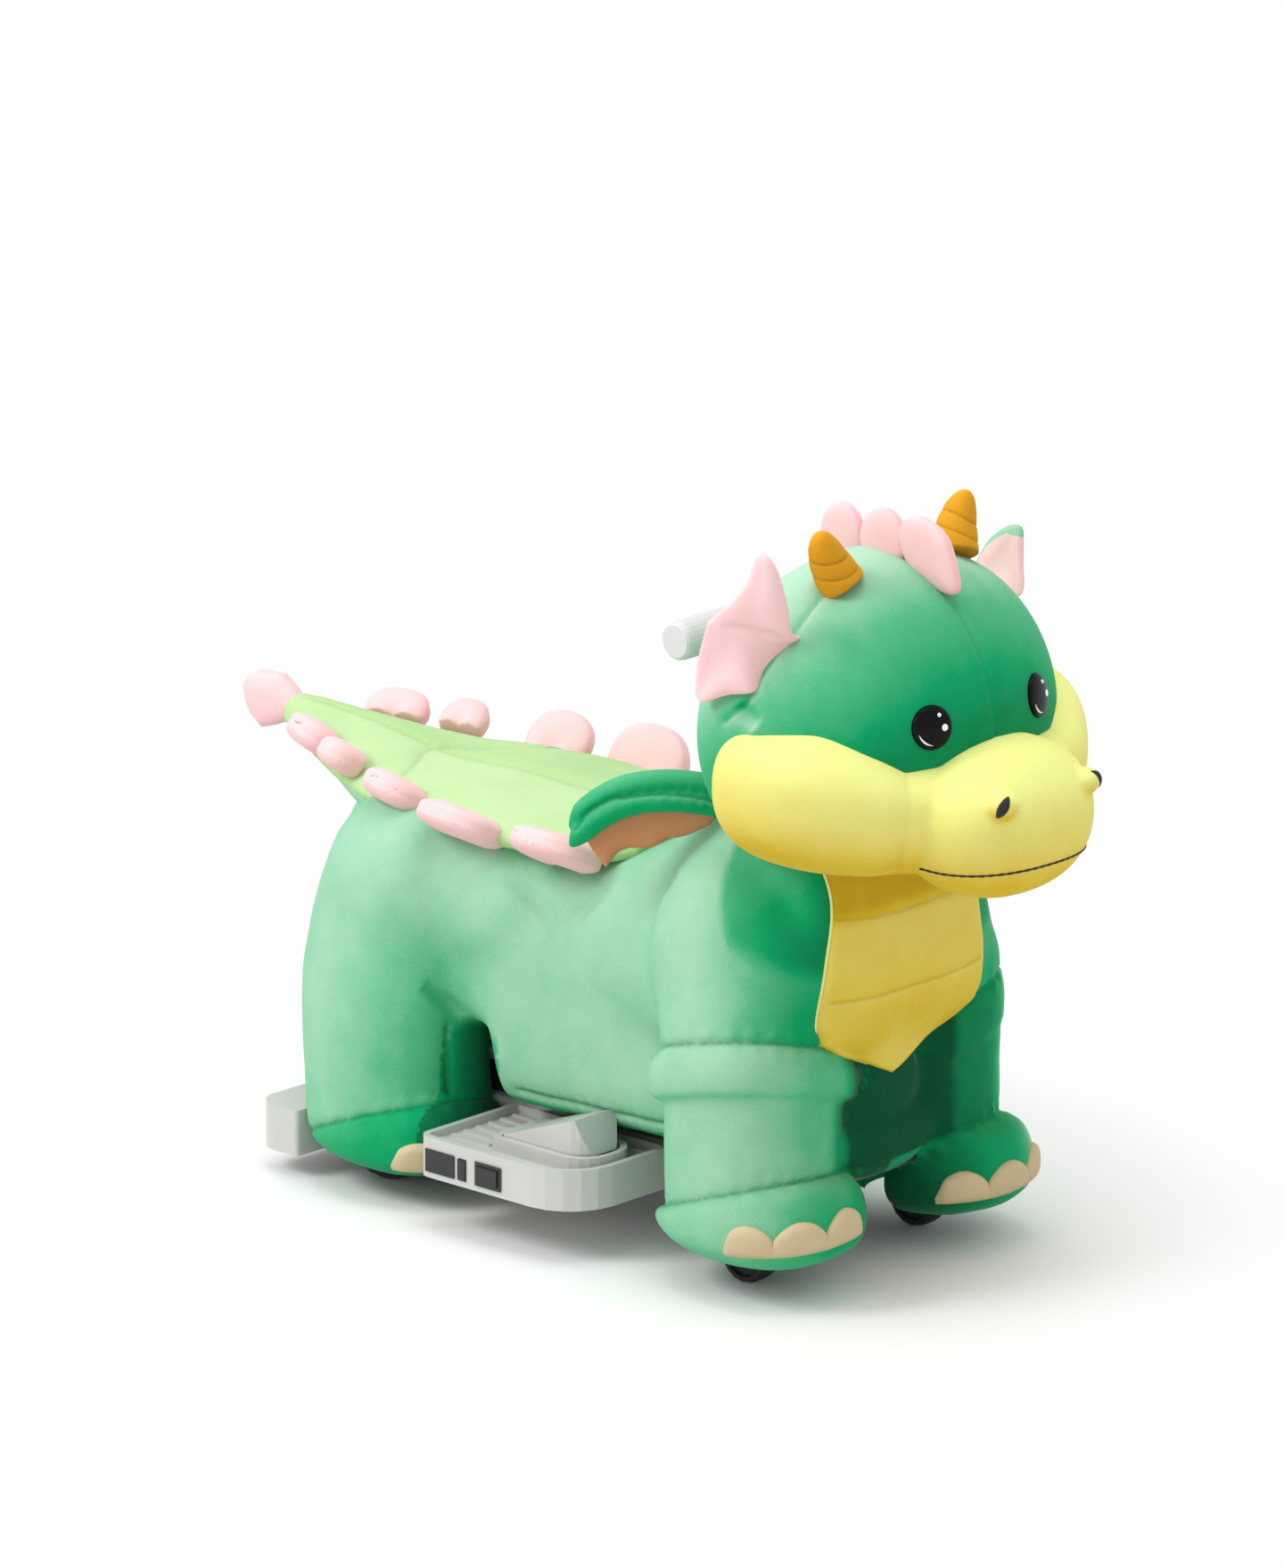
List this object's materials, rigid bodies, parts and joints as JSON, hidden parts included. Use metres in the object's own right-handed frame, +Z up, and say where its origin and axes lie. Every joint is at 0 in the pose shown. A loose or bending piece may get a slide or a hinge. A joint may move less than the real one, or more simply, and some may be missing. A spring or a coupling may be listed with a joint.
{
  "type": "ride-on dinosaur",
  "caption": "Electric plush ride-on baby dragon with a saddle, T handlebar, steered front wheels, driven rear wheels, footrests, an accelerator pedal and switches",
  "frame": {"origin": "on the floor under the middle of the object's box, near mid-wheelbase, on the centre line between the two sides", "axes": "+X points the way the animal faces, +Y to its left, +Z up"},
  "size_m": [0.98, 0.404, 0.6778],
  "materials": {
    "white_plastic": "moulded light grey-white plastic, fine satin texture",
    "painted_steel": "black powder coat on steel tube and plate",
    "bright_steel": "plated steel axle and pin",
    "black_plastic": "moulded black plastic",
    "black_wheel": "black moulded wheel with a soft tread",
    "grip_grey": "light grey moulded grip",
    "eye_black": "black eye disc with white highlights and a thin green rim",
    "mint_plush": "short velvety plush, mint green",
    "green_plush": "short velvety plush, full green",
    "yellow_plush": "short velvety plush, lemon yellow",
    "lime_plush": "short velvety plush, pale lime",
    "pink_plush": "short velvety plush, soft pink",
    "gold_plush": "short velvety plush, mustard gold, with stitched rings",
    "cream_plush": "cream felt-like claws with piped edges"
  },
  "bodies": {
    "root": {"chassis_base": "white_plastic", "footrest_right": "white_plastic", "footrest_left": "white_plastic", "rear_bumper": "white_plastic", "frame_rail_right": "painted_steel", "frame_rail_left": "painted_steel", "front_crossbeam": "painted_steel", "steering_tube": "painted_steel", "neck_post": "painted_steel", "rear_axle": "bright_steel", "pedal_pin": "bright_steel", "seat_board": "black_plastic", "seat_post_front": "black_plastic", "seat_post_rear": "black_plastic", "battery_pack": "black_plastic", "controller_box": "black_plastic", "gear_motor_right": "black_plastic", "gear_motor_left": "black_plastic", "rocker_housing": "black_plastic", "label_plate": "black_plastic", "eye_right": "eye_black", "eye_left": "eye_black", "body_plush": "mint_plush", "front_leg_right": "mint_plush", "front_leg_left": "mint_plush", "rear_leg_right": "mint_plush", "rear_leg_left": "mint_plush", "tail_plush": "mint_plush", "head_plush": "green_plush", "wing_right": "green_plush", "wing_left": "green_plush", "muzzle_plush": "yellow_plush", "chest_panel": "yellow_plush", "saddle_pad": "lime_plush", "scallop_trim_right": "pink_plush", "scallop_trim_left": "pink_plush", "tail_tip": "pink_plush", "crest": "pink_plush", "ear_right": "pink_plush", "ear_left": "pink_plush", "horn_right": "gold_plush", "horn_left": "gold_plush", "front_claws_right": "cream_plush", "front_claws_left": "cream_plush", "rear_claws_right": "cream_plush", "rear_claws_left": "cream_plush"},
    "steering": {"steering_column": "painted_steel", "handlebar": "painted_steel", "grip_right": "grip_grey", "grip_left": "grip_grey"},
    "fork_right": {"front_fork_right": "painted_steel"},
    "fork_left": {"front_fork_left": "painted_steel"},
    "tie_rod": {"tie_rod": "painted_steel"},
    "front_wheel_right": {"front_wheel_right": "black_wheel"},
    "front_wheel_left": {"front_wheel_left": "black_wheel"},
    "rear_wheel_right": {"rear_wheel_right": "black_wheel"},
    "rear_wheel_left": {"rear_wheel_left": "black_wheel"},
    "pedal": {"accelerator_pedal": "white_plastic"},
    "rocker": {"power_rocker": "black_plastic"},
    "mode_switch": {"mode_switch": "black_plastic"}
  },
  "joints": [
    {"name": "handlebar_turn", "type": "hinge", "parent": "root", "child": "steering", "pos_m": [0.125, 0, 0.556], "axis": [-0.2111, 0, 0.9775], "range_deg": [-15, 15]},
    {"name": "fork_right_turn", "type": "hinge", "parent": "root", "child": "fork_right", "pos_m": [0.223, -0.108, 0.06], "axis": [0, 0, 1], "range_deg": [-15, 15]},
    {"name": "fork_left_turn", "type": "hinge", "parent": "root", "child": "fork_left", "pos_m": [0.223, 0.108, 0.06], "axis": [0, 0, 1], "range_deg": [-15, 15]},
    {"name": "tie_rod_turn", "type": "hinge", "parent": "fork_right", "child": "tie_rod", "pos_m": [0.185, -0.108, 0.0685], "axis": [0, 0, 1], "range_deg": [-15, 15]},
    {"name": "front_wheel_right_roll", "type": "hinge", "parent": "fork_right", "child": "front_wheel_right", "pos_m": [0.215, -0.108, 0.026], "axis": [0, 1, 0], "continuous": true},
    {"name": "front_wheel_left_roll", "type": "hinge", "parent": "fork_left", "child": "front_wheel_left", "pos_m": [0.215, 0.108, 0.026], "axis": [0, 1, 0], "continuous": true},
    {"name": "rear_wheel_right_roll", "type": "hinge", "parent": "root", "child": "rear_wheel_right", "pos_m": [-0.215, -0.108, 0.052], "axis": [0, 1, 0], "continuous": true},
    {"name": "rear_wheel_left_roll", "type": "hinge", "parent": "root", "child": "rear_wheel_left", "pos_m": [-0.215, 0.108, 0.052], "axis": [0, 1, 0], "continuous": true},
    {"name": "pedal_press", "type": "hinge", "parent": "root", "child": "pedal", "pos_m": [-0.0245, -0.135, 0.085], "axis": [0, 1, 0], "range_deg": [0, 5], "stiffness_Nm_per_rad": 3, "springref_deg": -6.88},
    {"name": "rocker_tilt", "type": "hinge", "parent": "root", "child": "rocker", "pos_m": [-0.0125, -0.1955, 0.0645], "axis": [0, 0, 1], "range_deg": [-10, 10]},
    {"name": "mode_switch_rock", "type": "hinge", "parent": "root", "child": "mode_switch", "pos_m": [-0.04425, -0.1961, 0.0635], "axis": [1, 0, 0], "range_deg": [-6, 6]}
  ],
  "couplings": [
    {"joint": "fork_right_turn", "follows": "handlebar_turn", "ratio": 1},
    {"joint": "fork_left_turn", "follows": "handlebar_turn", "ratio": 1},
    {"joint": "tie_rod_turn", "follows": "handlebar_turn", "ratio": -1}
  ]
}
